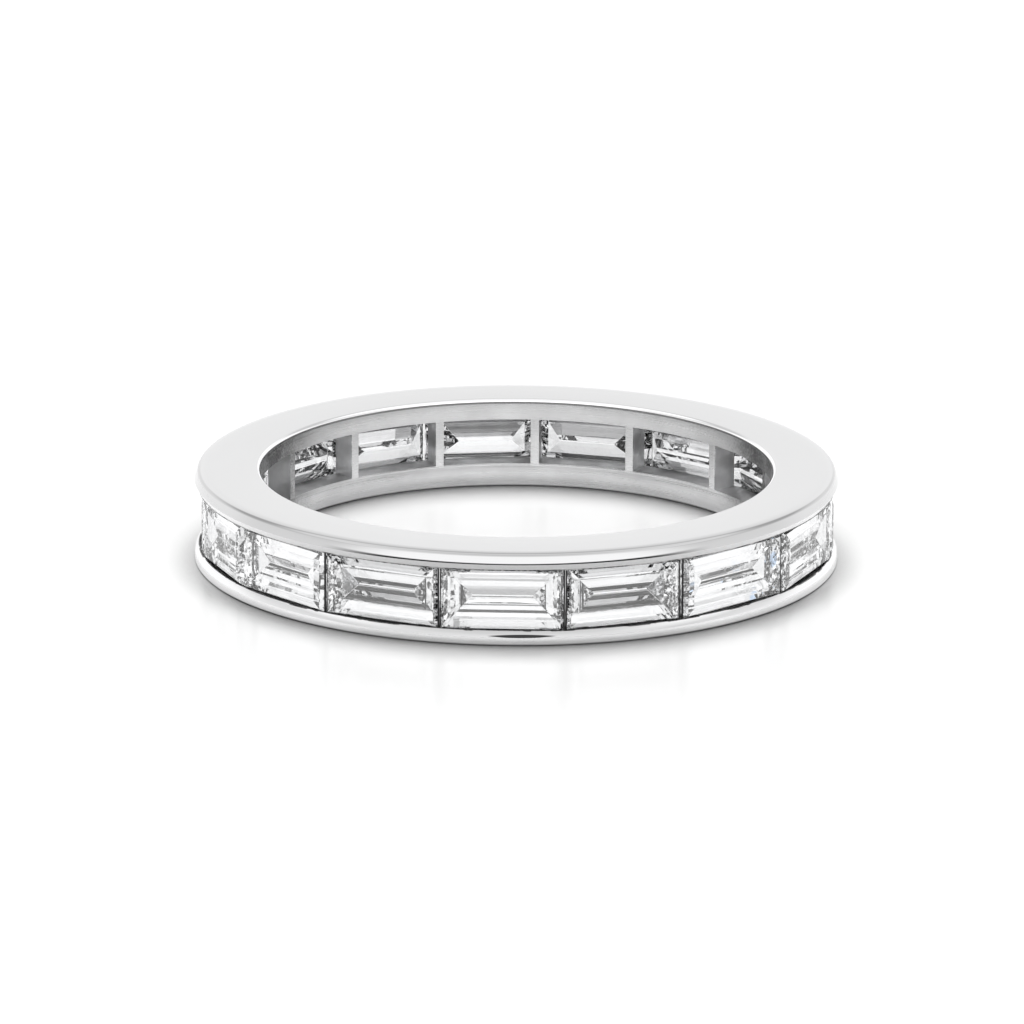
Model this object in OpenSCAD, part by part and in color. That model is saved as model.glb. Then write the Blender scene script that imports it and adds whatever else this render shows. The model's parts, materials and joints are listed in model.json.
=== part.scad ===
// Channel set band ring: a round band of white metal, sixteen step cut baguette stones
// held between its two rims, and a window through the inner wall behind each stone.
// It lies flat, with the finger hole upright along Z. The origin is at the middle of the
// lower face, and the front of the ring is towards -Y.

/* [Ring] */
// Inside diameter, the finger size
finger_d = 16.5; // [15:0.1:20]
// Wall from the finger hole to the outside
wall = 2.12; // [2.06:0.01:2.4]
// Height of the band along the finger
band_h = 2.95; // [2.95:0.05:3.15]
// Rounding of the two outer edges
outer_round = 0.15; // [0.05:0.01:0.2]
// Rounding of the two inner edges
inner_round = 0.12; // [0.05:0.01:0.2]

/* [Channel] */
// Height of the rim above the stones
upper_rim = 0.55; // [0.5:0.01:0.56]
// Height of the rim below the stones
lower_rim = 0.44; // [0.4:0.01:0.45]
// How far the bright cut on each rim leans in towards the stones
rim_cut_in = 0.14; // [0.1:0.01:0.15]
// Height of the bright cut on the upper rim
upper_cut_h = 0.28; // [0.2:0.01:0.34]
// Height of the bright cut on the lower rim
lower_cut_h = 0.18; // [0.12:0.01:0.24]
// How far the groove for the girdles reaches in under each rim
groove_reach = 0.08; // [0.07:0.01:0.1]
// Metal left between the outside of the groove and the edge of a rim
lip = 0.1; // [0.06:0.01:0.12]

/* [Windows] */
// Height of the window behind each stone
window_h = 1.5; // [1.3:0.01:1.52]
// How far the windows sit above the middle of the band
window_lift = 0.025; // [0:0.005:0.05]
// Bar between two windows, measured round the finger hole
bar_w = 0.28; // [0.2:0.01:0.3]
// How far the bars stand back from the finger hole
bar_recess = 0.03; // [0.02:0.01:0.05]
// Radial depth of the bars and windows
window_depth = 0.87; // [0.8:0.01:0.88]

/* [Stones] */
// Distance from the ring's axis to the tables of the stones
table_r = 10.02; // [10:0.01:10.04]
// Height of the crown above the girdle
crown_h = 0.22; // [0.18:0.01:0.24]
// Thickness of the girdle
girdle_t = 0.05; // [0.03:0.01:0.06]
// Width of a stone across the band, from girdle to girdle
stone_w = 2.06; // [2.03:0.01:2.08]
// Gap between one stone and the next
stone_gap = 0.03; // [0.02:0.01:0.05]
// Turn of the seam before the first stone, counted from the front
first_seam = -13.7; // [-20:0.1:0]

/* [Hidden] */
// Length of each stone, as the angle that it takes of the ring. The stones are matched by
// hand, the longest on the +X side. The first one is at the front, the rest follow towards +X.
STONE_SPANS = [22.5, 22, 24.5, 24, 25, 25, 24, 22.5, 22, 22, 22, 20, 19.5, 20.5, 22, 22.5];
stone_count = len(STONE_SPANS);

// The steps of the cut, from the keel up to the table.
// Columns: share of the pavilion's depth below the girdle, inset from the girdle's edge
PAVILION_STEPS = [[1, 1.01], [0.67, 0.58], [0.34, 0.24], [0, 0]];
// Columns: share of the crown's height above the girdle, inset from the girdle's edge
CROWN_STEPS = [[0, 0], [0.59, 0.14], [1, 0.28]];
pavilion_h = 1.06;

bore_r = finger_d / 2;
outer_r = bore_r + wall;
rim_edge_r = outer_r - rim_cut_in;
groove_r = rim_edge_r - lip;
floor_r = bore_r + window_depth;

girdle_top_r = table_r - crown_h;
girdle_r = girdle_top_r - girdle_t;
seat_r = girdle_r - 0.07;

channel_low = lower_rim;
channel_high = band_h - upper_rim;
channel_mid = (channel_low + channel_high) / 2;
window_low = (band_h - window_h) / 2 + window_lift;
window_high = window_low + window_h;
floor_ledge = 0.03;
recess_border = 0.05;
bar_half_angle = asin(bar_w / 2 / bore_r);

platinum = [0.86, 0.86, 0.87];
diamond = [0.93, 0.96, 0.98, 0.6];
past = 1;

// Turn of the seam before stone i, where i counts from 0
function seam(i) = i == 0 ? first_seam : seam(i - 1) + STONE_SPANS[i - 1];

// Half the length of stone i at its girdle, so that the gap to the next stone stays open
function half_length(i) =
    girdle_r * tan(STONE_SPANS[i] / 2) - stone_gap / 2 / cos(STONE_SPANS[i] / 2);

// One level of a stone: its four corners, at distance r from the axis
function level(half_l, half_w, r) =
    [for (c = [[-1, -1], [1, -1], [1, 1], [-1, 1]]) [c[0] * half_l, -r, c[1] * half_w]];

// The metal that rounding a corner at the origin takes away
module corner_bite(r) {
    difference() {
        translate([-past, -past]) square(r + past);
        translate([r, r]) circle(r, $fn = 48);
    }
}

// The plain cross section of the band, with all four edges rounded
module rim_section() {
    difference() {
        translate([bore_r, 0]) square([wall, band_h]);
        for (top = [0, 1]) translate([0, top * band_h]) mirror([0, top]) {
            translate([bore_r, 0]) corner_bite(inner_round);
            translate([outer_r, 0]) mirror([1, 0]) corner_bite(outer_round);
        }
    }
}

// The channel: bright cut mouth, groove for the girdles, slanted seats and floor
module channel_section() {
    polygon([
        [outer_r + past, channel_low - lower_cut_h],
        [outer_r, channel_low - lower_cut_h],
        [rim_edge_r, channel_low],
        [groove_r, channel_low],
        [groove_r, channel_low - groove_reach],
        [seat_r, channel_low - groove_reach],
        [floor_r, window_low - floor_ledge],
        [floor_r, window_high + floor_ledge],
        [seat_r, channel_high + groove_reach],
        [groove_r, channel_high + groove_reach],
        [groove_r, channel_high],
        [rim_edge_r, channel_high],
        [outer_r, channel_high + upper_cut_h],
        [outer_r + past, channel_high + upper_cut_h],
    ]);
}

// The shallow recess round the bars and windows, so that only the plain wall touches the finger
module bar_relief() {
    rotate_extrude($fn = 192) translate([0, window_low - recess_border])
        square([bore_r + bar_recess, window_h + 2 * recess_border]);
}

// The window behind stone i, between two bars
module window(i) {
    rotate([0, 0, seam(i) - 90 + bar_half_angle])
        rotate_extrude(angle = STONE_SPANS[i] - 2 * bar_half_angle, $fn = 96)
            translate([bore_r - past, window_low])
                square([past + window_depth + floor_ledge, window_h]);
}

module band() {
    color(platinum) difference() {
        rotate_extrude($fn = 192) difference() {
            rim_section();
            channel_section();
        }
        bar_relief();
        for (i = [0 : stone_count - 1]) window(i);
    }
}

// Stone i: a baguette with its table outwards, its steps stacked as a polyhedron
module stone(i) {
    half_l = half_length(i);
    half_w = stone_w / 2;
    steps = concat(
        [for (s = PAVILION_STEPS) [s[1], girdle_r - s[0] * pavilion_h]],
        [for (s = CROWN_STEPS) [s[1], girdle_top_r + s[0] * crown_h]]
    );
    last = len(steps) - 1;
    points = [for (s = steps) each level(half_l - s[0], half_w - s[0], s[1])];
    sides = [for (k = [0 : last - 1], c = [0 : 3])
        let (d = (c + 1) % 4) [4 * k + c, 4 * k + d, 4 * k + 4 + d, 4 * k + 4 + c]];
    keel = [3, 2, 1, 0];
    table = [for (c = [0 : 3]) 4 * last + c];
    color(diamond) translate([0, 0, channel_mid]) rotate([0, 0, seam(i) + STONE_SPANS[i] / 2])
        polyhedron(points, concat(sides, [keel, table]), convexity = 2);
}

band();
for (i = [0 : stone_count - 1]) stone(i);
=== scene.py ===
"""Channel set band ring: its looks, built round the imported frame, as a Blender add-on."""

import json
import math

import bmesh
import bpy
from bpy.props import FloatProperty, FloatVectorProperty, PointerProperty
from mathutils import Matrix, Vector


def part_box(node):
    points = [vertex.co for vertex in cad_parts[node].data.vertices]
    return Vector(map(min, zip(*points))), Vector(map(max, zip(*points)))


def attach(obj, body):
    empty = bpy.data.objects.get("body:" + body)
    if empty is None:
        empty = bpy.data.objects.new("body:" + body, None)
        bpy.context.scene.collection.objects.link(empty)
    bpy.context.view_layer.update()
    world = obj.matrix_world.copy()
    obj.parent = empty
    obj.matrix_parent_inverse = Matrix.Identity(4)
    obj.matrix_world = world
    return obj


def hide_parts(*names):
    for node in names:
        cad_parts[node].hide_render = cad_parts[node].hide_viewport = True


bl_info = {
    "name": "Channel Set Band Ring",
    "version": (1, 0, 0),
    "blender": (4, 5, 0),
    "location": "View3D > Sidebar > Ring",
    "description": "Models a channel set band ring with baguette stones and its studio stage",
    "category": "Add Mesh",
}

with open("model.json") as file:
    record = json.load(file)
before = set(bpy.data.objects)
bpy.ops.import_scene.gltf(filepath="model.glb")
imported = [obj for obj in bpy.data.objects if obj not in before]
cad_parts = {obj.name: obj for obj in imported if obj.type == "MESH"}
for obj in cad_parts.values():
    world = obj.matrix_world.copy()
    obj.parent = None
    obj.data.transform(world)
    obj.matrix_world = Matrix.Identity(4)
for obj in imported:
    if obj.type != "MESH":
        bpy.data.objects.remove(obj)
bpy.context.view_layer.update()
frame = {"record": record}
_, BAND_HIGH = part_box("band")
BORE = next(m for m in frame["record"]["mounts"] if m["name"] == "finger_bore")

MM = 0.001

# From the tables in to the seats of the stones
SEAT_DEPTH = 0.34 * MM
# Metal between a window and the corner of the channel behind it
CHANNEL_LEDGE = 0.03 * MM
# Where the top face is split to keep it flat in the shading, against the width of the fall
TOP_SPLIT = 1.4
# Steps of the turned band across a bar
BAR_STEPS = 4
# Points nearer than this are one, and faces nearer than this lie on a wall
MERGE = 0.0005 * MM
NEAR = 0.004 * MM
# Edges of the band that turn more than this are shaded sharp
SHARP_TURN = math.radians(28)
# Edges of the inner wall that turn more than this are mouths of windows
MOUTH_TURN = math.radians(60)

# The angle of the ring that each stone takes, from the front stone round towards +X
STONE_SPANS = (22.5, 22, 24.5, 24, 25, 25, 24, 22.5, 22, 22, 22, 20, 19.5, 20.5, 22, 22.5)
STONE_NODES = [f"stone_{i + 1:02d}" for i in range(len(STONE_SPANS))]
# The turn of the seam before the front stone, counted from -Y
FIRST_SEAM = -13.7
# The steps of the cuts in millimetres, each given as its inset and its depth, outwards or
# inwards from the girdle. The stones come from several cutters, so their slopes differ.
CUTS = (
    {"crown": ((0.089, 0.137), (0.213, 0.039)),
     "pavilion": ((0.318, 0.464), (0.279, 0.27), (0.412, 0.326))},
    {"crown": ((0.084, 0.14), (0.21, 0.045)),
     "pavilion": ((0.313, 0.472), (0.267, 0.274), (0.429, 0.314))},
    {"crown": ((0.075, 0.161), (0.213, 0.059)),
     "pavilion": ((0.158, 0.333), (0.33, 0.38), (0.521, 0.347))},
    {"crown": ((0.107, 0.137), (0.105, 0.083)),
     "pavilion": ((0.219, 0.361), (0.299, 0.35), (0.492, 0.349))},
    {"crown": ((0.137, 0.135), (0.126, 0.117)),
     "pavilion": ((0.261, 0.351), (0.27, 0.337), (0.478, 0.372))},
)
STONE_CUTS = (0, 2, 1, 0, 2, 3, 4, 3, 4, 3, 4, 3, 1, 0, 1, 2)
# The finishes of a stone, by their place in its list of materials
POLISH, GIRDLE, ENDS = range(3)
# The end facets of a pavilion at least this steep are crushed, and by how much
CRUSHED_SLOPE = 0.75
CRUSH = 0.3
DIAMOND_IOR = 2.417
# The part of a noise that makes specks in the stones, and how clear they are
STONE_SPECKS = (0.62, 0.75)
SPECK_SHADE = 0.8
# How dark the girdle is against the stone
GIRDLE_SHADE = 0.05
GIRDLE_ROUGHNESS = (0.6, 0.9)

# Where the painted blue flash, standing in for a stone's fire, shows in the third stone towards +X,
# and its half sizes
FLASH_AT = (8.13 * MM, -6.27 * MM, 1.67 * MM)
FLASH_SIZE = (0.2 * MM, 0.14 * MM, 0.33 * MM)
FLASH_TURN = math.radians(43.05)
FLASH_EDGE = (0.6, 1.0)
# The lens of painted shade in the lower rim's bright cut, under the front stone, where a dark gap
# shows, in X and Z
GAP_SHADE_AT = (0.19 * MM, 0.295 * MM)
GAP_SHADE_SIZE = (1.1 * MM, 0.05 * MM)
GAP_SHADE_EDGE = (0.8, 1.1)

# How softly the zones of the metal meet
MASK_EDGE = 0.008 * MM
# How far the zone of the channel and the windows reaches over the rims
CHANNEL_SPREAD = 0.12 * MM
# The painted shade of the channel ends at an uneven line: how far under the tables, and how uneven
SHADE_UNDER, SHADE_UNEVEN = 0.03 * MM, 0.14 * MM
# The part of the clouds over which that line and the painted shadow line under the upper lip come
# and go, and how much of that painted shadow stays where it is faintest
DASHES = (0.44, 0.54)
LIP_SHADOW_FAINTEST = 0.6
# How far out from the channel's floor, which is painted lighter as if the windows lit it, the
# channel's painted shade begins
SHADE_BEGINS = (0.45 * MM, 0.65 * MM)
# The zone of painted shade on the fall: its depth, its reach in and out from the shoulder, its
# softness
FALL_DEPTH = (0.1 * MM, 0.09 * MM)
FALL_REACH = (0.06 * MM, 0.02 * MM)
FALL_SOFT = 0.03 * MM
# The share of the inner roundings that the bore's finish leaves free
ROUND_FREE = 0.8
# How far the painted dark reflection line at the upper inner rounding reaches below it
DARK_LINE_REACH = 0.03 * MM
# The painted highlight on that rounding, from this share of it below the top to this share of it
# out from the bore
ROUND_BEGINS = 0.7
ROUND_ENDS = 1.2
# Heights between which the foot of the lower rim darkens with painted contact shadow
FOOT_SHADE_REACH = (0.02 * MM, 0.07 * MM)
# The middle part of a noise, which a pattern stretches over its own range. The specks in the
# channel's painted shade take less of it, and the painted dark reflections on the bore are blotches
# from the sum of two noises.
NOISE = (0.3, 0.7)
SPECKS_NOISE = (0.35, 0.65)
REFLECTIONS_NOISE = (0.8, 1.2)
# How bright the zones of the metal are against plain polish. A pair is the range of a pattern.
# Some vary at random, and most are painted light and shade: the bright cut, the lower cut and wall,
# the lower part of the bore, the windows and the inner rounding are painted lighter, and the fall,
# the line under that rounding, the ends of the bore, the channel, the foot of the rim and the gap
# under the front stone are painted darker.
TONES = {
    "faces": (0.985, 1.0), "fall": 0.84, "bright_cut": 1.4, "lower_cut": (0.84, 1.3),
    "lower_wall": 1.4, "bore": (0.88, 1.06), "bore_foot": (1.0, 1.36), "painted_dark_reflections": (0.22, 0.74),
    "step": 0.45, "rounding": 1.4, "windows": (0.85, 1.3), "channel_shade_specks": (0.02, 0.4),
    "channel_floor": 0.8, "foot": 0.5, "painted_gap_shade": 0.06}
ROUGHNESS = {
    "polish": 0.035, "faces": (0.09, 0.14), "bore": (0.25, 0.42), "windows": 0.4,
    "channel": 0.45, "bright_cut": 0.2, "lower_wall": 0.2}
# How deep the grain and the clouds are as relief, and how much of the grain the polish leaves
RELIEF_DEPTH = 0.0012 * MM
RELIEF_STRENGTH = 0.6
POLISHED_GRAIN = 0.1
# How far to the left and right the lower cut brightens with painted light, and the painted dark
# reflections on the bore set in
CUT_BRIGHTENS = (2.5 * MM, 6.5 * MM)
REFLECTIONS_BEGIN = (6.4 * MM, 8 * MM)

# How far the painted contact shadow darkens the floor near the ring, between which shares of open
# sky, and how that painted shadow fades to the left and right of the ring
CONTACT_REACH = 2.3 * MM
CONTACT_SKY = (0.45, 0.84)
CONTACT_FADES = (8.6 * MM, 10.4 * MM)
CONTACT_FADED = 0.6

# Brightness of the studio: (degrees above the horizon, light), on the camera's side, to the
# left and right, and beyond the ring
BRIGHTEST = 2.0
FRONT_LIGHT = (
    (-90, 0.9), (0, 0.95), (6, 0.9), (9, 0.04), (16.5, 0.04), (19.5, 1.4), (50, 1.35),
    (64, 1.05), (90, 0.95))
SIDE_LIGHT = ((-90, 0.9), (0, 1.0), (20, 0.95), (38, 0.8), (50, 1.2), (65, 1.15), (90, 0.95))
FAR_LIGHT = (
    (-90, 0.9), (0, 1.12), (20, 1.12), (27, 0.95), (33, 0.62), (42, 0.62), (50, 1.15),
    (60, 1.15), (72, 0.85), (90, 0.95))
# Between which shares of +Y in a direction the side light gives way to each of the others
FAR_BEGINS = (0.2, 0.6)
FRONT_BEGINS = (-0.25, -0.7)
# The soft box above the ring: its lean to the far side, its width, its light
KEY_LEAN = math.radians(24)
KEY_WIDTH = math.radians(34)
KEY_LIGHT = 3.5
# How often light may pass through or off the stones and the metal
STONE_BOUNCES = 24
METAL_BOUNCES = 16


def length(name, about, mm):
    """A length property, whose default is given in millimetres."""
    return FloatProperty(name=name, description=about, default=mm * MM, unit="LENGTH", precision=5)


def colour(name, about, default):
    """A colour property."""
    return FloatVectorProperty(
        name=name, description=about, default=default, size=3, subtype="COLOR", min=0, max=1)


class RingSizes(bpy.types.PropertyGroup):
    """Sizes of the band and the stones."""

    bore_radius: FloatProperty(
        name="Bore radius", description="Radius of the finger hole",
        default=BORE["dims"]["r_mm"] * MM, unit="LENGTH", precision=5)
    outer_radius: FloatProperty(
        name="Outer radius", description="Radius of the outside of the rims",
        default=BAND_HIGH.x, unit="LENGTH", precision=5)
    height: FloatProperty(
        name="Height", description="Height of the band along the finger",
        default=BAND_HIGH.z, unit="LENGTH", precision=5)
    lean: length("Lean", "How far the outside of the upper rim leans in", 0.12)
    ridge: length("Ridge", "Height of the narrow ridge between the lean and the bright cut", 0.06)
    fall_width: length("Fall width", "Width of the buffed fall at the outer edge of the top", 0.26)
    fall: length("Fall", "Depth of the buffed fall", 0.032)
    shoulder: length("Shoulder", "Reach of the rounding between the fall and the lean", 0.08)
    foot: length("Foot", "How far the outside of the lower rim spreads downwards", 0.016)
    edge_round: length("Edge rounding", "Reach of the rounding of the lower outer edge", 0.045)
    lip_face: length("Lip face", "Height of the narrow face under the upper bright cut", 0.035)
    inner_round: length("Inner rounding", "Rounding of the upper inner edge", 0.12)
    inner_foot: length("Inner foot", "Rounding of the lower inner edge", 0.05)
    upper_rim: length("Upper rim", "Height of the rim above the stones", 0.55)
    lower_rim: length("Lower rim", "Height of the rim below the stones", 0.44)
    cut_in: length("Lower cut width", "How far the lower bright cut leans in", 0.14)
    upper_cut_in: length("Upper cut width", "How far the upper bright cut leans in", 0.105)
    upper_cut: length("Upper bright cut", "Height of the bright cut on the upper rim", 0.22)
    lower_cut: length("Lower bright cut", "Height of the bright cut on the lower rim", 0.18)
    groove: length("Groove reach", "How far the girdle groove reaches under a rim", 0.08)
    lip: length("Lip", "Metal between the grooves and the lower bright cut", 0.04)
    lip_round: length("Lip rounding", "Polished rounding of the lips", 0.012)
    window_height: length("Window height", "Height of the window behind each stone", 1.5)
    window_lift: length("Window lift", "How far the windows sit above the middle", 0.025)
    window_depth: length("Window depth", "Radial depth of the windows", 0.87)
    window_round: length("Window rounding", "Polished rounding of the window mouths", 0.009)
    bar_width: length("Bar width", "Width of a bar between two windows", 0.28)
    bar_recess: length("Bar recess", "How far the bars stand back from the bore", 0.03)
    recess_border: length("Recess border", "Height of the recess past the windows", 0.05)
    fineness: FloatProperty(
        name="Fineness", description="Steps of the band for each degree", default=2, min=0.5)
    table_radius: length("Table radius", "From the ring's axis to the tables", 10.13)
    girdle: length("Girdle", "Thickness of the girdle", 0.05)
    stone_width: length("Stone width", "Width of a stone across the band", 2.06)
    stone_gap: length("Stone gap", "Gap between one stone and the next", 0.028)
    girdle_ledge: length("Girdle ledge", "Width of the matt ledge at the foot of the crown", 0.035)
    facet_round: length("Facet rounding", "Wear of the edges between facets", 0.003)


class RingStage(bpy.types.PropertyGroup):
    """Sizes of the studio stage and the camera."""

    distance: FloatProperty(
        name="Camera distance", description="From the camera to the middle of the ring",
        default=0.3, unit="LENGTH")
    elevation: FloatProperty(
        name="Camera elevation", description="Angle of the camera above the floor",
        default=math.radians(15.794), subtype="ANGLE")
    roll: FloatProperty(
        name="Camera roll", description="Turn of the camera about its own line of sight",
        default=math.radians(0.283), subtype="ANGLE")
    lens: FloatProperty(
        name="Lens", description="Focal length in millimetres on a 36 mm sensor", default=326.96)
    aside: FloatVectorProperty(
        name="Aside", description="How far the camera stands right and up of the ring's middle",
        default=(-0.135 * MM, -0.0599 * MM), size=2, unit="LENGTH", precision=6)
    floor_size: FloatProperty(
        name="Floor size", description="Width of the floor", default=4.0, unit="LENGTH")


class RingColours(bpy.types.PropertyGroup):
    """Colours of the finishes."""

    platinum: colour("Platinum", "Colour of the polished metal", (0.67, 0.67, 0.674))
    diamond: colour("Diamond", "Colour of the stones", (0.985, 0.99, 1.0))
    # The colour of a painted blue flash, standing in for the fire of one stone
    flash: colour("Flash", "Colour of the fire in one stone", (0.4, 0.62, 1.0))
    floor: colour("Floor", "Colour of the floor", (0.55, 0.55, 0.55))


# Shapes

def add_outline(bm, points):
    """Draws a closed outline of named points in the XZ plane, and returns its vertices."""
    verts = {name: bm.verts.new((r, 0, z)) for name, (r, z) in points.items()}
    ends = list(verts.values())
    for a, b in zip(ends, ends[1:] + ends[:1]):
        bm.edges.new((a, b))
    return verts


def round_corners(bm, verts, radius, segments):
    """Rounds these corners of an outline with arcs."""
    bmesh.ops.bevel(
        bm, geom=verts, offset=radius, offset_type="OFFSET", segments=segments,
        profile=0.5, affect="VERTICES", material=-1)


def soften(bm, edges, width, segments):
    """Rounds these edges."""
    bmesh.ops.bevel(
        bm, geom=edges, offset=width, offset_type="OFFSET", segments=segments,
        profile=0.5, affect="EDGES", material=-1, clamp_overlap=True)


def mark_sharp(bm, angle):
    """Shades every face smooth, and keeps edges sharp that turn more than the angle."""
    for f in bm.faces:
        f.smooth = True
    for e in bm.edges:
        e.smooth = len(e.link_faces) == 2 and e.calc_face_angle(0) < angle


def new_piece(bm, name, *materials):
    """Turns a bmesh into an object of the ring, which rides on its body."""
    mesh = bpy.data.meshes.new(name)
    bm.to_mesh(mesh)
    bm.free()
    for material in materials:
        mesh.materials.append(material)
    piece = bpy.data.objects.new(name, mesh)
    bpy.context.scene.collection.objects.link(piece)
    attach(piece, "root")
    return piece


def seam(i):
    """The turn of the seam before stone i, in degrees from -Y towards +X."""
    return FIRST_SEAM + sum(STONE_SPANS[:i])


def turn_of(point):
    """The turn of a point about the ring's axis, in degrees from -Y towards +X."""
    return math.degrees(math.atan2(point.x, -point.y))


# The band

def channel_levels(s):
    """The lower and upper edges of the channel between the rims."""
    return s.lower_rim, s.height - s.upper_rim


def window_levels(s):
    """The lower and upper ends of the windows."""
    low = (s.height - s.window_height) / 2 + s.window_lift
    return low, low + s.window_height


def inner_radii(s):
    """The distances of the bars and of the channel's floor from the ring's axis."""
    return s.bore_radius + s.bar_recess, s.bore_radius + s.window_depth


def band_outline(bm, s):
    """The cross section of the band, from the finger hole round to the channel."""
    low, high = channel_levels(s)
    window_low, window_high = window_levels(s)
    bar_r, floor_r = inner_radii(s)
    edge_r = s.outer_radius - s.cut_in
    groove_r = edge_r - s.lip
    seat_r = s.table_radius - SEAT_DEPTH
    lip_r = s.outer_radius - s.upper_cut_in
    ridge_z = high + s.upper_cut
    fall_r = s.outer_radius - s.lean
    corner = add_outline(bm, {
        "inner foot": (s.bore_radius, 0),
        "outer foot": (s.outer_radius, 0),
        "lower cut": (s.outer_radius - s.foot, low - s.lower_cut),
        "lower lip": (edge_r, low),
        "lower lip end": (groove_r, low),
        "lower groove": (groove_r, low - s.groove),
        "lower seat": (seat_r, low - s.groove),
        "lower ledge": (floor_r, window_low - CHANNEL_LEDGE),
        "window foot": (floor_r, window_low),
        "window head": (floor_r, window_high),
        "upper ledge": (floor_r, window_high + CHANNEL_LEDGE),
        "upper seat": (seat_r, high + s.groove),
        "upper groove": (groove_r, high + s.groove),
        "upper lip end": (groove_r, high),
        "upper lip": (lip_r, high),
        "upper cut": (lip_r, high + s.lip_face),
        "ridge": (s.outer_radius, ridge_z),
        "lean": (s.outer_radius - s.ridge / 4, ridge_z + s.ridge),
        "shoulder": (fall_r, s.height - s.fall),
        "fall": (fall_r - s.fall_width, s.height),
        "top": (fall_r - TOP_SPLIT * s.fall_width, s.height),
        "inner head": (s.bore_radius, s.height),
        "recess head": (s.bore_radius, window_high + s.recess_border),
        "recess top": (bar_r, window_high + s.recess_border),
        "bar head": (bar_r, window_high),
        "bar foot": (bar_r, window_low),
        "recess bottom": (bar_r, window_low - s.recess_border),
        "recess foot": (s.bore_radius, window_low - s.recess_border),
    })
    for names, radius, segments in (
            (["inner foot"], s.inner_foot, 4),
            (["inner head"], s.inner_round, 8),
            (["shoulder"], s.shoulder, 8),
            (["outer foot"], s.edge_round, 6),
            (["lower cut"], s.lip_round, 3),
            (["lower lip", "lower lip end", "upper lip end"], s.lip_round, 2)):
        round_corners(bm, [corner[name] for name in names], radius, segments)


def bar_half_angle(s):
    """Half the angle that a bar takes, seen from the ring's axis."""
    return math.asin(s.bar_width / 2 / s.bore_radius)


def turned_band(s):
    """Spins the cross section round the finger, a bar and a window at a time."""
    bm = bmesh.new()
    band_outline(bm, s)
    mesh = bpy.data.meshes.new("sector")
    bm.to_mesh(mesh)
    outline = mesh.copy()
    bm.clear()
    bar = 2 * bar_half_angle(s)
    for i, span in enumerate(STONE_SPANS):
        sector = bmesh.new()
        sector.from_mesh(outline)
        start = Matrix.Rotation(math.radians(seam(i) - 90) - bar / 2, 3, "Z")
        bmesh.ops.rotate(sector, cent=(0, 0, 0), matrix=start, verts=sector.verts[:])
        geom = sector.verts[:] + sector.edges[:]
        window = math.radians(span) - bar
        for angle, steps in ((bar, BAR_STEPS), (window, round(span * s.fineness))):
            geom = bmesh.ops.spin(
                sector, geom=geom, cent=(0, 0, 0), axis=(0, 0, 1), angle=angle,
                steps=steps, use_merge=False)["geom_last"]
        sector.to_mesh(mesh)
        sector.free()
        bm.from_mesh(mesh)
    bmesh.ops.remove_doubles(bm, verts=bm.verts[:], dist=MERGE)
    bmesh.ops.recalc_face_normals(bm, faces=bm.faces[:])
    bpy.data.meshes.remove(outline)
    bpy.data.meshes.remove(mesh)
    return bm


def cut_windows(bm, s):
    """Opens a window through the inner wall behind each stone."""
    low, high = window_levels(s)
    bar = math.degrees(bar_half_angle(s))
    skins = [[] for _ in STONE_SPANS]
    for f in bm.faces:
        middle = f.calc_center_median()
        off = min(abs(middle.xy.length - wall) for wall in inner_radii(s))
        if not low < middle.z < high or off > NEAR:
            continue
        for i, span in enumerate(STONE_SPANS):
            past_seam = (turn_of(middle) - seam(i)) % 360
            if bar < past_seam < span - bar:
                skins[i].append(f)
    for skin in skins:
        found = set(skin)
        rims = [e for f in skin for e in f.edges if sum(g in found for g in e.link_faces) == 1]
        bmesh.ops.delete(bm, geom=skin, context="FACES")
        bmesh.ops.bridge_loops(bm, edges=[e for e in rims if e.is_valid])
    bmesh.ops.recalc_face_normals(bm, faces=bm.faces[:])


def window_mouths(bm, s):
    """The edges round the windows and the recess, on the finger side."""
    low, high = window_levels(s)
    bar_r, _ = inner_radii(s)
    reach = s.recess_border + NEAR / 2
    found = []
    for e in bm.edges:
        if len(e.link_faces) != 2 or e.calc_face_angle(0) < MOUTH_TURN:
            continue
        inside = all(v.co.xy.length < bar_r + NEAR / 2 for v in e.verts)
        level = all(low - reach < v.co.z < high + reach for v in e.verts)
        if inside and level:
            found.append(e)
    return found


def band_mesh(s):
    """The whole band: outline, spin, windows and softened edges."""
    bm = turned_band(s)
    cut_windows(bm, s)
    soften(bm, window_mouths(bm, s), s.window_round, 2)
    mark_sharp(bm, SHARP_TURN)
    return bm


# The stones

def inset(bm, face, width, depth=0):
    """Insets a face evenly, moves it out by the depth, and returns the faces round it."""
    return bmesh.ops.inset_region(
        bm, faces=[face], thickness=width, depth=depth,
        use_even_offset=True, use_boundary=True)["faces"]


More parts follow.
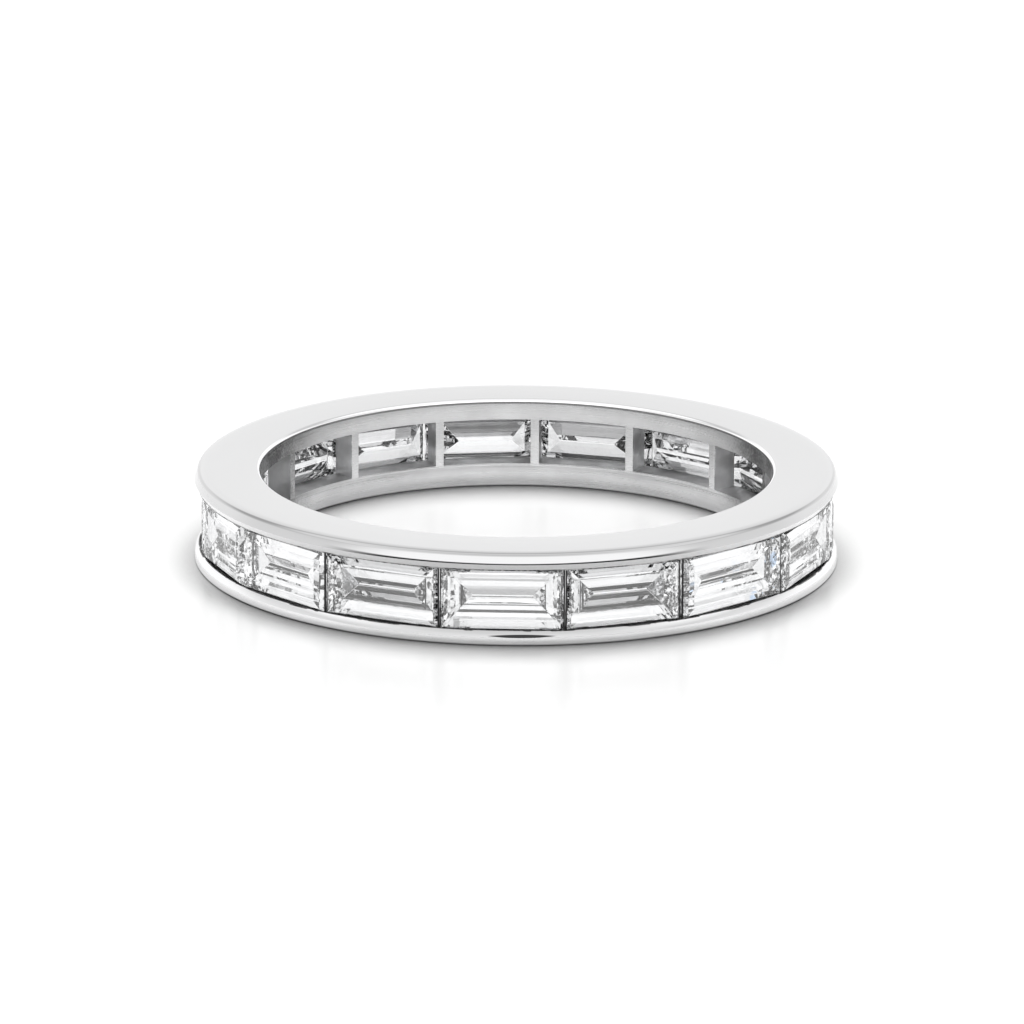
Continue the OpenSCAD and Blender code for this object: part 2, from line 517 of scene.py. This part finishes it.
def stone_mesh(s, i):
    """Stone i: a girdle, with the crown and the pavilion stepped in from it."""
    half = math.radians(STONE_SPANS[i] / 2)
    facing = math.radians(seam(i)) + half
    cut = CUTS[STONE_CUTS[i]]
    girdle_r = s.table_radius - sum(depth for _, depth in cut["crown"]) * MM - s.girdle
    half_length = girdle_r * math.tan(half) - s.stone_gap / 2 / math.cos(half)
    bm = bmesh.new()
    bmesh.ops.create_grid(bm, x_segments=1, y_segments=1, size=1)
    bmesh.ops.scale(bm, vec=(half_length, s.stone_width / 2, 1), verts=bm.verts[:])
    top = bmesh.ops.extrude_face_region(bm, geom=bm.faces[:], use_keep_orig=True)["geom"]
    bmesh.ops.translate(
        bm, vec=(0, 0, s.girdle), verts=[v for v in top if isinstance(v, bmesh.types.BMVert)])
    bmesh.ops.recalc_face_normals(bm, faces=bm.faces[:])
    for f in bm.faces:
        f.material_index = GIRDLE if abs(f.normal.z) < 0.5 else POLISH
    top = max(bm.faces, key=lambda f: f.calc_center_median().z)
    for f in inset(bm, top, s.girdle_ledge):
        f.material_index = GIRDLE
    for up, steps in ((1, cut["crown"]), (-1, cut["pavilion"])):
        end = max(
            bm.faces, key=lambda f: (round(up * f.calc_center_median().z, 7), f.calc_area()))
        for width, depth in steps:
            inset(bm, end, width * MM, depth * MM)
    seen_in_front = math.cos(facing) > 0
    for f in bm.faces:
        if seen_in_front and f.normal.z < -0.1 and abs(f.normal.x) > CRUSHED_SLOPE:
            f.material_index = ENDS
    soften(bm, bm.edges[:], s.facet_round, 1)
    place = (
        Matrix.Translation((0, 0, sum(channel_levels(s)) / 2))
        @ Matrix.Rotation(facing, 4, "Z")
        @ Matrix.Translation((0, -girdle_r, 0))
        @ Matrix.Rotation(math.radians(90), 4, "X"))
    bmesh.ops.transform(bm, matrix=place, verts=bm.verts[:])
    return bm


# Materials

NUMBER, VECTOR = "NodeSocketFloat", "NodeSocketVector"


class Shading:
    """Adds linked nodes to a material, a world or a node group."""

    def __init__(self, tree):
        self.nodes, self.links = tree.nodes, tree.links

    def node(self, kind, **settings):
        """A node with these settings."""
        node = self.nodes.new(kind)
        for name, value in settings.items():
            setattr(node, name, value)
        return node

    def feed(self, socket, value):
        """Gives a socket a plain value or another node's output."""
        if isinstance(value, bpy.types.NodeSocket):
            self.links.new(value, socket)
        else:
            socket.default_value = value

    def fill(self, node, **values):
        """Feeds the inputs of a node by their names, and returns the node."""
        for name, value in values.items():
            self.feed(node.inputs[name.replace("_", " ")], value)
        return node

    def math(self, operation, *values):
        """Works something out from numbers."""
        node = self.node("ShaderNodeMath", operation=operation)
        for socket, value in zip(node.inputs, values):
            self.feed(socket, value)
        return node.outputs["Value"]

    def times(self, product, *others):
        """Multiplies numbers."""
        for other in others:
            product = self.math("MULTIPLY", product, other)
        return product

    def vector(self, operation, *values):
        """Works out a vector from vectors."""
        node = self.node("ShaderNodeVectorMath", operation=operation)
        for socket, value in zip(node.inputs, values):
            self.feed(socket, value)
        return node.outputs["Vector"]

    def scaled(self, vector, factor):
        """A vector or colour times a number."""
        node = self.fill(self.node("ShaderNodeVectorMath", operation="SCALE"), Scale=factor)
        self.feed(node.inputs[0], vector)
        return node.outputs["Vector"]

    def apart(self, vector):
        """The X, Y and Z of a vector."""
        return self.fill(self.node("ShaderNodeSeparateXYZ"), Vector=vector).outputs

    def step(self, value, start, end, low=0, high=1):
        """Turns a value smoothly from low to high, as it goes from start to end."""
        node = self.node("ShaderNodeMapRange", interpolation_type="SMOOTHSTEP")
        self.fill(node, Value=value, From_Min=start, From_Max=end, To_Min=low, To_Max=high)
        return node.outputs["Result"]

    def between(self, value, low, high, soft):
        """A mask that is one between low and high."""
        return self.times(self.step(value, low - soft, low + soft),
                          self.step(value, high - soft, high + soft, 1, 0))

    def blend(self, factor, a, b):
        """Mixes two numbers."""
        node = self.node("ShaderNodeMix", data_type="FLOAT")
        for place, value in ((0, factor), (2, a), (3, b)):
            self.feed(node.inputs[place], value)
        return node.outputs[0]

    def blend_colours(self, factor, a, b):
        """Mixes two colours."""
        node = self.node("ShaderNodeMix", data_type="RGBA")
        for place, value in ((0, factor), (6, a), (7, b)):
            self.feed(node.inputs[place], value)
        return node.outputs[2]

    def noise(self, **values):
        """A noise between 0 and 1."""
        return self.fill(self.node("ShaderNodeTexNoise"), **values).outputs["Fac"]

    def group(self, build, **values):
        """Places a node group, which is built at its first use, and returns its outputs."""
        name = build.__name__
        node = self.node("ShaderNodeGroup", node_tree=bpy.data.node_groups.get(name) or build(name))
        return self.fill(node, **values).outputs

    def ramp(self, factor, stops):
        """A ramp of greys, from pairs of degrees above the horizon and brightness."""
        node = self.node("ShaderNodeValToRGB")
        elements = node.color_ramp.elements
        elements.remove(elements[1])
        for k, (elevation, light) in enumerate(stops):
            place = (math.sin(math.radians(elevation)) + 1) / 2
            element = elements[0] if k == 0 else elements.new(place)
            element.position = place
            element.color = (*[light / BRIGHTEST] * 3, 1)
        return self.fill(node, Fac=factor).outputs["Color"]


def new_material(name):
    """A material with a Principled shader, and the way to add nodes to it."""
    material = bpy.data.materials.new(name)
    material.use_nodes = True
    material.node_tree.nodes.clear()
    tree = Shading(material.node_tree)
    shader = tree.node("ShaderNodeBsdfPrincipled")
    tree.fill(tree.node("ShaderNodeOutputMaterial"), Surface=shader.outputs["BSDF"])
    return material, tree, shader


def new_group(name, inputs, outputs):
    """A node group with a vector, these inputs with their defaults, and outputs of these kinds."""
    group = bpy.data.node_groups.new(name, "ShaderNodeTree")
    group.interface.new_socket("Vector", in_out="INPUT", socket_type=VECTOR)
    for label, default in inputs.items():
        socket = group.interface.new_socket(label, in_out="INPUT", socket_type=NUMBER)
        socket.default_value = default
    for label, kind in outputs.items():
        group.interface.new_socket(label, in_out="OUTPUT", socket_type=kind)
    given, out = group.nodes.new("NodeGroupInput"), group.nodes.new("NodeGroupOutput")
    return group, Shading(group), given.outputs, out


def turned_grain(name):
    """Fine lines that run round the ring on every face, as turning and buffing leave them."""
    group, tree, given, out = new_group(
        name, {"Along": 300.0, "Across": 30000.0},
        {"Grain": NUMBER, "Radius": NUMBER, "Height": NUMBER})
    x, y, z = tree.apart(given["Vector"])
    radius = tree.math("SQRT", tree.math("ADD", tree.times(x, x), tree.times(y, y)))
    lines = tree.fill(
        tree.node("ShaderNodeCombineXYZ"),
        X=tree.times(x, given["Along"]), Y=tree.times(y, given["Along"]),
        Z=tree.times(tree.math("ADD", radius, z), given["Across"]))
    grain = tree.noise(Vector=lines.outputs["Vector"], Scale=1, Detail=4, Roughness=0.62)
    tree.fill(out, Grain=grain, Radius=radius, Height=z)
    return group


def mottle(name):
    """Soft clouds and specks, as a hand finish leaves them."""
    group, tree, given, out = new_group(
        name, {"Cloud Size": 900.0, "Speck Size": 14000.0}, {"Clouds": NUMBER, "Specks": NUMBER})
    tree.fill(
        out,
        Clouds=tree.noise(Vector=given["Vector"], Scale=given["Cloud Size"], Detail=3),
        Specks=tree.noise(Vector=given["Vector"], Scale=given["Speck Size"], Detail=2))
    return group


def crushed_facets(name):
    """Tips the surface a little, each small cell its own way, as tiny extra facets do."""
    group, tree, given, out = new_group(
        name, {"Amount": 0.1, "Cell Size": 6500.0}, {"Normal": VECTOR})
    cells = tree.fill(
        tree.node("ShaderNodeTexVoronoi"), Vector=given["Vector"], Scale=given["Cell Size"])
    centred = tree.vector("SUBTRACT", cells.outputs["Color"], (0.5, 0.5, 0.5))
    tip = tree.scaled(centred, given["Amount"])
    normal = tree.node("ShaderNodeNewGeometry").outputs["Normal"]
    tree.fill(out, Normal=tree.vector("NORMALIZE", tree.vector("ADD", normal, tip)))
    return group


def gap_shade_mask(tree, x, y, height):
    """A mask for the lens of painted shade under the front stone, where a dark gap shows in the
    lower cut.
    """
    across, upward = (
        tree.math("DIVIDE", tree.math("SUBTRACT", value, middle), size)
        for value, middle, size in zip((x, height), GAP_SHADE_AT, GAP_SHADE_SIZE))
    lens = tree.math("ADD", tree.times(across, across), tree.math("ABSOLUTE", upward))
    return tree.times(tree.step(lens, *GAP_SHADE_EDGE, 1, 0), tree.step(y, 0, -MASK_EDGE))


def metal_zones(tree, s, radius, height, x, y, clouds):
    """Masks for the zones of the metal, in the order in which they lie over each other."""
    low, high = channel_levels(s)
    bar_r, floor_r = inner_radii(s)
    edge_r = s.outer_radius - s.cut_in
    lip_r = s.outer_radius - s.upper_cut_in
    fall_r = s.outer_radius - s.lean
    head_z = s.height - ROUND_BEGINS * s.inner_round
    fine = MASK_EDGE
    rim = tree.step(radius, edge_r - 2 * fine, edge_r - fine)
    level = tree.between(height, low - CHANNEL_SPREAD, high + CHANNEL_SPREAD, fine)
    dashes = tree.step(clouds, *DASHES)
    shade_edge = tree.math("MULTIPLY_ADD", dashes, SHADE_UNEVEN, s.table_radius - SHADE_UNDER)
    # Painted shade in the channel behind the stones, ending at an uneven line under the tables
    channel = tree.times(
        level, tree.step(radius, floor_r - fine, floor_r),
        tree.step(tree.math("SUBTRACT", radius, shade_edge), 0, fine, 1, 0))
    # A painted shadow line under the upper lip, in dashes
    lip_shadow = tree.times(
        tree.between(height, high - fine, high + s.lip_face, fine / 4),
        tree.between(radius, lip_r - 3 * fine, lip_r + fine, fine / 4),
        tree.step(dashes, 0, 1, LIP_SHADOW_FAINTEST, 1))
    return {
        "faces": tree.math("SUBTRACT", 1, tree.between(height, fine, s.height - fine, fine / 2)),
        # Painted shade along the fall
        "fall": tree.times(
            tree.step(height, *(s.height - depth for depth in FALL_DEPTH)),
            tree.between(radius, fall_r - FALL_REACH[0], fall_r + FALL_REACH[1], FALL_SOFT)),
        # The bright cut is painted lighter, as painted light over its reflection of the shaded
        # floor
        "bright_cut": tree.times(
            rim, tree.between(height, high + s.lip_face, high + s.upper_cut, fine / 4)),
        # The lower cut is painted lighter towards the left and right
        "lower_cut": tree.times(rim, tree.between(height, low - s.lower_cut, low, fine)),
        # The lower wall is painted lighter, as painted light over its reflection of the shaded
        # floor
        "lower_wall": tree.times(
            rim, tree.step(height, low - s.lower_cut - fine, low - s.lower_cut + fine, 1, 0)),
        "bore": tree.times(
            tree.step(radius, bar_r + fine, bar_r + 2 * fine, 1, 0),
            tree.between(height, ROUND_FREE * s.inner_foot,
                         s.height - ROUND_FREE * s.inner_round, 4 * fine)),
        # A painted dark reflection line just under the upper inner rounding
        "step": tree.times(
            tree.between(height, s.height - s.inner_round - DARK_LINE_REACH, head_z, fine),
            tree.step(radius, bar_r + 3 * fine, bar_r + 4 * fine, 1, 0)),
        # A painted highlight on the upper inner rounding
        "rounding": tree.times(
            tree.between(height, head_z, s.height - fine / 2, fine / 2),
            tree.step(radius, s.bore_radius + s.inner_round,
                      s.bore_radius + ROUND_ENDS * s.inner_round, 1, 0)),
        "windows": tree.times(level, tree.between(radius, bar_r + 3 * fine, floor_r - fine, fine)),
        "channel": tree.math("MAXIMUM", channel, lip_shadow),
        # Painted contact shadow at the foot of the lower rim
        "foot": tree.times(rim, tree.step(height, *FOOT_SHADE_REACH, 1, 0)),
        # Painted shade in a lens under the front stone, where a dark gap shows
        "painted_gap_shade": tree.times(rim, gap_shade_mask(tree, x, y, height)),
    }


def platinum_material(c, s):
    """Polished platinum: mirror bright edges, satin faces, a buffed bore and sawn windows, with
    painted light and shade over many of its zones.
    """
    material, tree, shader = new_material("platinum_polished")
    place = tree.node("ShaderNodeTexCoord").outputs["Object"]
    grain, radius, height = tree.group(turned_grain, Vector=place)
    clouds, specks = tree.group(mottle, Vector=place)
    x, y, _ = tree.apart(place)
    sideways = tree.math("ABSOLUTE", x)
    zones = metal_zones(tree, s, radius, height, x, y, clouds)

    low, high = channel_levels(s)
    _, floor_r = inner_radii(s)
    # Painted dark reflections, in blotches, on the left and right ends of the bore
    painted_dark_reflections = tree.step(tree.math("ADD", clouds, specks), *REFLECTIONS_NOISE, *TONES["painted_dark_reflections"])
    tones = dict(
        TONES,
        faces=tree.step(clouds, 0, 1, *TONES["faces"]),
        # Painted light on the lower cut, growing towards the left and right
        lower_cut=tree.step(sideways, *CUT_BRIGHTENS, *TONES["lower_cut"]),
        bore=tree.times(
            tree.step(tree.blend(0.5, grain, clouds), *NOISE, *TONES["bore"]),
            # The lower part of the bore is painted lighter, as painted light
            tree.step(height, high, low, *TONES["bore_foot"]),
            tree.blend(tree.step(sideways, *REFLECTIONS_BEGIN), 1.0, painted_dark_reflections)),
        # The windows' random tone is raised with painted light, lifting their shade
        windows=tree.step(clouds, *NOISE, *TONES["windows"]),
        # The channel is painted dark with specks, and lighter near its floor as if the windows lit
        # it
        channel=tree.blend(
            tree.step(radius, *(floor_r + reach for reach in SHADE_BEGINS)),
            TONES["channel_floor"], tree.step(specks, *SPECKS_NOISE, *TONES["channel_shade_specks"])))
    tone = 1.0
    for name, zone in zones.items():
        tone = tree.blend(zone, tone, tones[name])

    roughness = dict(
        ROUGHNESS,
        faces=tree.step(grain, *NOISE, *ROUGHNESS["faces"]),
        bore=tree.step(grain, *NOISE, *ROUGHNESS["bore"]))
    rough = roughness.pop("polish")
    for name, value in roughness.items():
        rough = tree.blend(zones[name], rough, value)

    relief = tree.blend(zones["bore"], tree.times(grain, POLISHED_GRAIN), grain)
    relief = tree.blend(zones["windows"], relief, clouds)
    bump = tree.fill(
        tree.node("ShaderNodeBump"), Strength=RELIEF_STRENGTH, Distance=RELIEF_DEPTH,
        Height=relief)
    tree.fill(
        shader, Base_Color=tree.scaled(c.platinum, tone), Metallic=1, Roughness=rough,
        Normal=bump.outputs["Normal"])
    return material


def diamond_material(c, name, crush):
    """Clear diamond with faint specks in it, a painted blue flash for the fire of one stone, and
    more or less crushed facets.
    """
    material, tree, shader = new_material(name)
    place = tree.node("ShaderNodeTexCoord").outputs["Object"]
    _, specks = tree.group(mottle, Vector=place, Speck_Size=9000.0)
    # A painted blue flash, standing in for the fire of one stone
    spot = tree.fill(
        tree.node("ShaderNodeMapping", vector_type="TEXTURE"), Vector=place,
        Location=FLASH_AT, Rotation=(0, 0, FLASH_TURN), Scale=FLASH_SIZE)
    off = tree.fill(
        tree.node("ShaderNodeVectorMath", operation="LENGTH"), Vector=spot.outputs["Vector"])
    tint = tree.blend_colours(
        tree.step(off.outputs["Value"], *FLASH_EDGE, 1, 0), (*c.diamond, 1), (*c.flash, 1))
    normal, = tree.group(crushed_facets, Vector=place, Amount=crush)
    tree.fill(
        shader, Base_Color=tree.scaled(tint, tree.step(specks, *STONE_SPECKS, 1.0, SPECK_SHADE)),
        Normal=normal, Roughness=0, IOR=DIAMOND_IOR, Transmission_Weight=1)
    return material


def girdle_material(c):
    """The matt, ground girdle of a stone, dark with the shadow of the groove."""
    material, tree, shader = new_material("diamond_girdle")
    place = tree.node("ShaderNodeTexCoord").outputs["Object"]
    _, specks = tree.group(mottle, Vector=place, Speck_Size=30000.0)
    tree.fill(
        shader, Base_Color=(*(GIRDLE_SHADE * v for v in c.diamond), 1), Specular_IOR_Level=0.1,
        Roughness=tree.step(specks, *NOISE, *GIRDLE_ROUGHNESS))
    return material


def floor_material(c):
    """A plain pale floor with a soft sheen, and painted contact shadow, seen by the camera only,
    where things stand close over it.
    """
    material, tree, shader = new_material("studio_floor")
    near = tree.fill(
        tree.node("ShaderNodeAmbientOcclusion", samples=8), Distance=CONTACT_REACH)
    x, _, _ = tree.apart(tree.node("ShaderNodeTexCoord").outputs["Object"])
    faded = tree.step(tree.math("ABSOLUTE", x), *CONTACT_FADES, 0, CONTACT_FADED)
    # The painted contact shadow, fainter to the left and right of the ring
    shade = tree.blend(faded, tree.step(near.outputs["AO"], *CONTACT_SKY), 1.0)
    seen = tree.node("ShaderNodeLightPath").outputs["Is Camera Ray"]
    tree.fill(
        shader, Base_Color=tree.scaled(c.floor, tree.blend(seen, 1.0, shade)),
        Roughness=0.22, Specular_IOR_Level=0.35)
    return material


# The stage

def studio_world():
    """Soft white studio light from all round, with a dark room near the horizon in front."""
    world = bpy.data.worlds.new("studio")
    bpy.context.scene.world = world
    world.use_nodes = True
    world.node_tree.nodes.clear()
    tree = Shading(world.node_tree)
    _, y, z = tree.apart(tree.node("ShaderNodeTexCoord").outputs["Generated"])
    height = tree.math("MULTIPLY_ADD", z, 0.5, 0.5)
    light = tree.ramp(height, SIDE_LIGHT)
    for begins, stops in ((FAR_BEGINS, FAR_LIGHT), (FRONT_BEGINS, FRONT_LIGHT)):
        light = tree.blend_colours(tree.step(y, *begins), light, tree.ramp(height, stops))
    back = tree.fill(tree.node("ShaderNodeBackground"), Color=light, Strength=BRIGHTEST)
    tree.fill(tree.node("ShaderNodeOutputWorld"), Surface=back.outputs["Background"])


def add_key():
    """A soft box above the ring, which only lights the floor and matt faces."""
    data = bpy.data.lights.new("key", "SUN")
    data.energy = KEY_LIGHT
    data.angle = KEY_WIDTH
    key = bpy.data.objects.new("key", data)
    bpy.context.scene.collection.objects.link(key)
    key.rotation_euler = (-KEY_LEAN, 0, 0)
    key.visible_glossy = key.visible_transmission = False


def add_camera(stage, height):
    """The camera, at the photo's angle to the ring."""
    data = bpy.data.cameras.new("camera")
    data.sensor_width = 36
    data.lens = stage.lens
    data.clip_start, data.clip_end = 0.01, 10
    camera = bpy.data.objects.new("camera", data)
    bpy.context.scene.collection.objects.link(camera)
    sight = Vector((0, math.cos(stage.elevation), -math.sin(stage.elevation)))
    camera.matrix_world = (
        Matrix.Translation((0, 0, height / 2))
        @ sight.to_track_quat("-Z", "Y").to_matrix().to_4x4()
        @ Matrix.Rotation(stage.roll, 4, "Z")
        @ Matrix.Translation((*stage.aside, stage.distance)))
    bpy.context.scene.camera = camera


class RING_OT_band(bpy.types.Operator):
    """Model the band and give it its polished finish"""

    bl_idname = "ring.band"
    bl_label = "Band"

    def execute(self, context):
        sizes, colours = context.scene.ring_sizes, context.scene.ring_colours
        band = new_piece(band_mesh(sizes), "polished_band", platinum_material(colours, sizes))
        weighted = band.modifiers.new("Flat faces", "WEIGHTED_NORMAL")
        weighted.keep_sharp = True
        weighted.weight = 100
        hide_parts("band")
        return {"FINISHED"}


class RING_OT_stones(bpy.types.Operator):
    """Cut the baguette stones and set them in the channel"""

    bl_idname = "ring.stones"
    bl_label = "Stones"

    def execute(self, context):
        sizes, colours = context.scene.ring_sizes, context.scene.ring_colours
        finishes = {
            POLISH: diamond_material(colours, "diamond_polished", 0.0),
            GIRDLE: girdle_material(colours),
            ENDS: diamond_material(colours, "diamond_ends", CRUSH)}
        for i, node in enumerate(STONE_NODES):
            name = node.replace("stone", "baguette")
            stone = new_piece(stone_mesh(sizes, i), name, *finishes.values())
            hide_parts(node)
        return {"FINISHED"}


class RING_OT_stage(bpy.types.Operator):
    """Lay the floor, light the studio and set the camera"""

    bl_idname = "ring.stage"
    bl_label = "Stage"

    def execute(self, context):
        scene = context.scene
        bm = bmesh.new()
        bmesh.ops.create_grid(bm, x_segments=1, y_segments=1, size=scene.ring_stage.floor_size / 2)
        mesh = bpy.data.meshes.new("floor")
        bm.to_mesh(mesh)
        bm.free()
        mesh.materials.append(floor_material(scene.ring_colours))
        floor = bpy.data.objects.new("floor", mesh)
        scene.collection.objects.link(floor)
        studio_world()
        add_key()
        add_camera(scene.ring_stage, scene.ring_sizes.height)
        scene.view_settings.view_transform = "Standard"
        scene.cycles.max_bounces = scene.cycles.transmission_bounces = STONE_BOUNCES
        scene.cycles.glossy_bounces = METAL_BOUNCES
        return {"FINISHED"}


class RING_PT_panel(bpy.types.Panel):
    """Steps, sizes and colours of the ring"""

    bl_idname = "RING_PT_panel"
    bl_label = "Channel Set Ring"
    bl_space_type = "VIEW_3D"
    bl_region_type = "UI"
    bl_category = "Ring"

    def draw(self, context):
        for operator in OPERATORS:
            self.layout.operator(operator.bl_idname)
        for name, group in SETTINGS.items():
            for setting in group.__annotations__:
                self.layout.prop(getattr(context.scene, name), setting)


SETTINGS = {"ring_sizes": RingSizes, "ring_stage": RingStage, "ring_colours": RingColours}
OPERATORS = (RING_OT_band, RING_OT_stones, RING_OT_stage)
CLASSES = (*SETTINGS.values(), *OPERATORS, RING_PT_panel)


def register():
    """Adds the classes to Blender, and the settings to its scenes."""
    for cls in CLASSES:
        bpy.utils.register_class(cls)
    for name, group in SETTINGS.items():
        setattr(bpy.types.Scene, name, PointerProperty(type=group))


def unregister():
    """Takes the settings and the classes away again."""
    for name in SETTINGS:
        delattr(bpy.types.Scene, name)
    for cls in reversed(CLASSES):
        bpy.utils.unregister_class(cls)


def main():
    """Makes the ring and its stage."""
    register()
    bpy.ops.ring.band()
    bpy.ops.ring.stones()
    bpy.ops.ring.stage()


if __name__ == "__main__":
    main()
